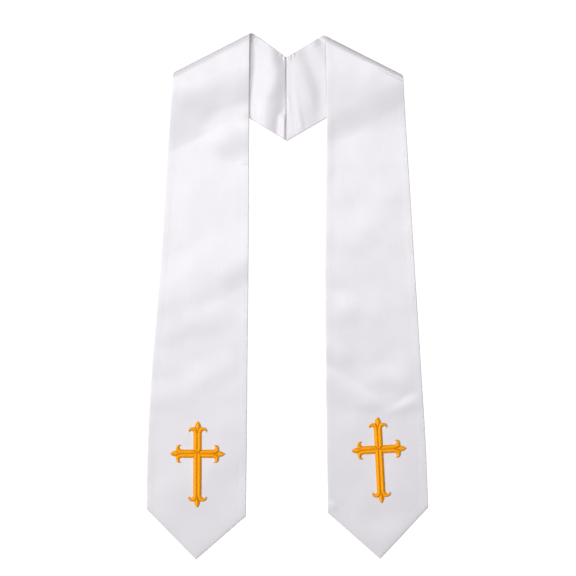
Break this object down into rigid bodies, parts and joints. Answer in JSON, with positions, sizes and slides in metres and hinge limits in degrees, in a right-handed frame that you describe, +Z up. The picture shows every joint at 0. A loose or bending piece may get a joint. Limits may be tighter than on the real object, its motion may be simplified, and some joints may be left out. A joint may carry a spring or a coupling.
{
  "type": "clerical stole with embroidered crosses",
  "caption": "White satin stole laid flat: two bands seamed in a V at the centre back, folded over at the shoulders, down to pointed hems with a gold satin-stitch cross on each.",
  "frame": {"origin": "on the surface that the stole lies on, under the middle of its bounding box", "axes": "+Z up from the surface to the fronts, +Y from the pointed hems to the shoulder folds, +X to the band with the tilted cross"},
  "size_m": [0.4362, 0.8149, 0.0127],
  "materials": {
    "satin": "white polyester satin, smooth and softly shining",
    "thread": "golden orange rayon embroidery thread in satin stitch"
  },
  "bodies": {
    "root": {"left_band": "satin", "right_band": "satin", "left_cross": "thread", "right_cross": "thread"}
  },
  "joints": []
}
